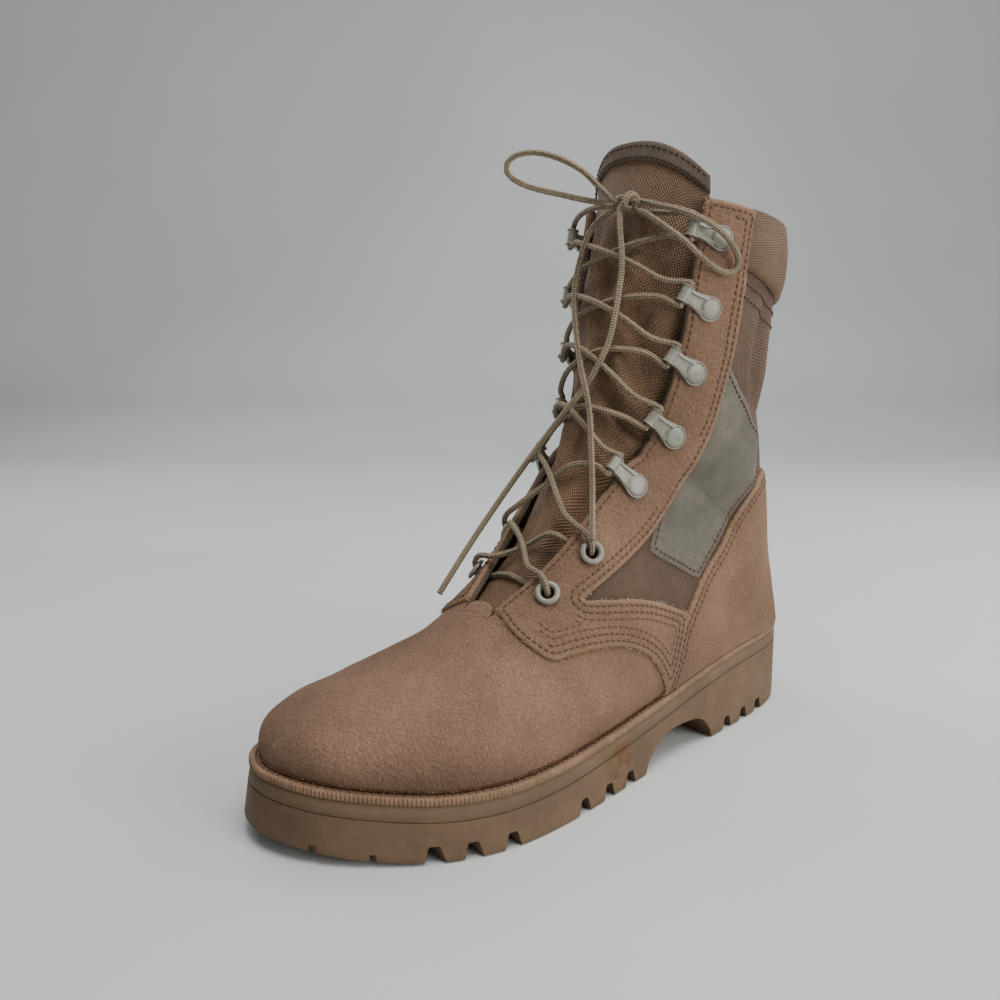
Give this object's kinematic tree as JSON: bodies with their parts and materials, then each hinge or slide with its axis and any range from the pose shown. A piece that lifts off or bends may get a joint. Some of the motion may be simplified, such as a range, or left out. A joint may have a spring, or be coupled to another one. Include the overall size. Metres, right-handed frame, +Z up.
{
  "type": "combat boot",
  "caption": "Left desert combat boot in tan suede and nylon, laced through eyelets and hooks, with a lugged rubber sole, standing empty.",
  "frame": {"origin": "on the heel's ground face, in the middle of the heel, 46 mm ahead of the sole's back end", "axes": "+X towards the toe, +Y to the outer side of the left foot, +Z up"},
  "size_m": [0.3057, 0.112, 0.2853],
  "materials": {
    "suede": "rough tan suede",
    "nylon": "brown woven nylon",
    "webbing": "grey-green web tape",
    "rubber": "matt tan rubber",
    "strip": "pale ribbed strip",
    "enamel": "grey-green enamel, half gloss",
    "cord": "braided tan lace",
    "foam": "dark insole cloth"
  },
  "bodies": {
    "root": {"outsole": "rubber", "midsole": "rubber", "welt": "strip", "insole": "foam", "upper": "suede", "eyestay_outer": "suede", "eyestay_inner": "suede", "heel_counter": "suede", "web_tape_outer": "webbing", "web_tape_inner": "webbing", "collar": "nylon", "tongue": "nylon", "tongue_binding": "nylon", "lacing": "cord", "eyelet_outer_1": "enamel", "eyelet_outer_2": "enamel", "lace_hook_outer_1": "enamel", "lace_hook_outer_2": "enamel", "lace_hook_outer_3": "enamel", "lace_hook_outer_4": "enamel", "lace_hook_outer_5": "enamel", "eyelet_inner_1": "enamel", "eyelet_inner_2": "enamel", "lace_hook_inner_1": "enamel", "lace_hook_inner_2": "enamel", "lace_hook_inner_3": "enamel", "lace_hook_inner_4": "enamel", "lace_hook_inner_5": "enamel", "lace_knot": "cord", "lace_loop_outer": "cord", "lace_loop_inner": "cord", "lace_end_outer": "cord", "lace_end_inner": "cord"}
  },
  "joints": []
}
